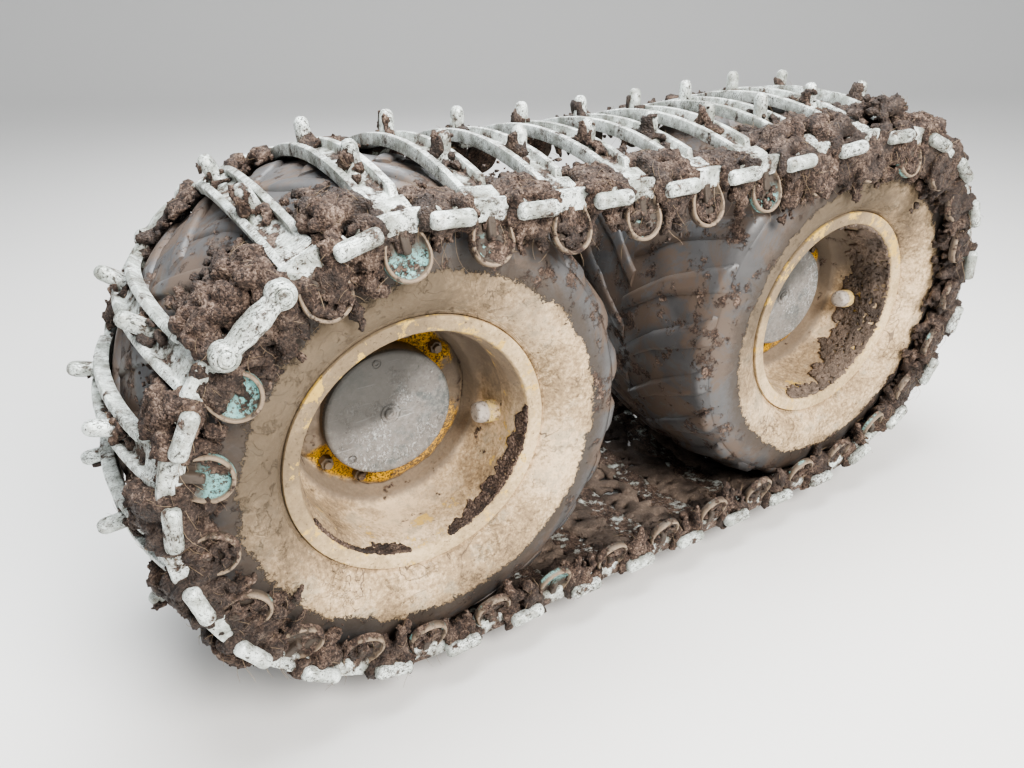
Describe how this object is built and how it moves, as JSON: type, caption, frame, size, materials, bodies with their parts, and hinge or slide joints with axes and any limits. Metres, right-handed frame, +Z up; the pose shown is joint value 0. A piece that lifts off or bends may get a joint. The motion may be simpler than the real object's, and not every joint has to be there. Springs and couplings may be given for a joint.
{
  "type": "tracked wheel bogie",
  "caption": "Driven wheel bogie of a forestry carrier: wide low tyres on a swinging gear case, wrapped by a steel track with arched shoes and side paddles.",
  "frame": {"origin": "centre of the mounting face of the axle arm, on the axis that the gear case swings about", "axes": "+Y along the swing axis to the vehicle, +Z up, X along the vehicle; the wheels are on the -Y side"},
  "size_m": [3.0447, 1.3489, 1.499],
  "materials": {
    "dark_paint": "satin, muddy",
    "plain_steel": "dull",
    "hub_metal": "scuffed",
    "rim_paint": "worn, muddy",
    "tyre_rubber": "matt, muddy",
    "track_steel": "worn bright"
  },
  "bodies": {
    "arm": {"axle_arm": "dark_paint"},
    "bogie": {"gear_case": "dark_paint", "case_cover": "dark_paint", "bearing_ring": "plain_steel", "journal_cap": "plain_steel", "oil_plugs": "plain_steel", "carrier_front": "dark_paint", "carrier_rear": "dark_paint", "track_shoes": "track_steel", "track_links_outer": "track_steel", "track_links_inner": "track_steel", "coupling_links": "track_steel"},
    "wheel_front": {"tyre_front": "tyre_rubber", "rim_front": "rim_paint", "disc_front": "rim_paint", "hub_front": "rim_paint", "hub_cover_front": "hub_metal", "wheel_nuts_front": "plain_steel", "valve_guard_front": "hub_metal"},
    "wheel_rear": {"tyre_rear": "tyre_rubber", "rim_rear": "rim_paint", "disc_rear": "rim_paint", "hub_rear": "rim_paint", "hub_cover_rear": "hub_metal", "wheel_nuts_rear": "plain_steel", "valve_guard_rear": "hub_metal"}
  },
  "joints": [
    {"name": "bogie_swing", "type": "hinge", "parent": "arm", "child": "bogie", "pos_m": [0, -0.3, 0], "axis": [0, 1, 0], "range_deg": [-18, 18]},
    {"name": "wheel_front_spin", "type": "hinge", "parent": "bogie", "child": "wheel_front", "pos_m": [-0.775, -0.9, -0.06], "axis": [0, 1, 0], "continuous": true},
    {"name": "wheel_rear_spin", "type": "hinge", "parent": "bogie", "child": "wheel_rear", "pos_m": [0.775, -0.9, -0.06], "axis": [0, 1, 0], "continuous": true}
  ],
  "couplings": [
    {"joint": "wheel_rear_spin", "follows": "wheel_front_spin", "ratio": 1}
  ]
}
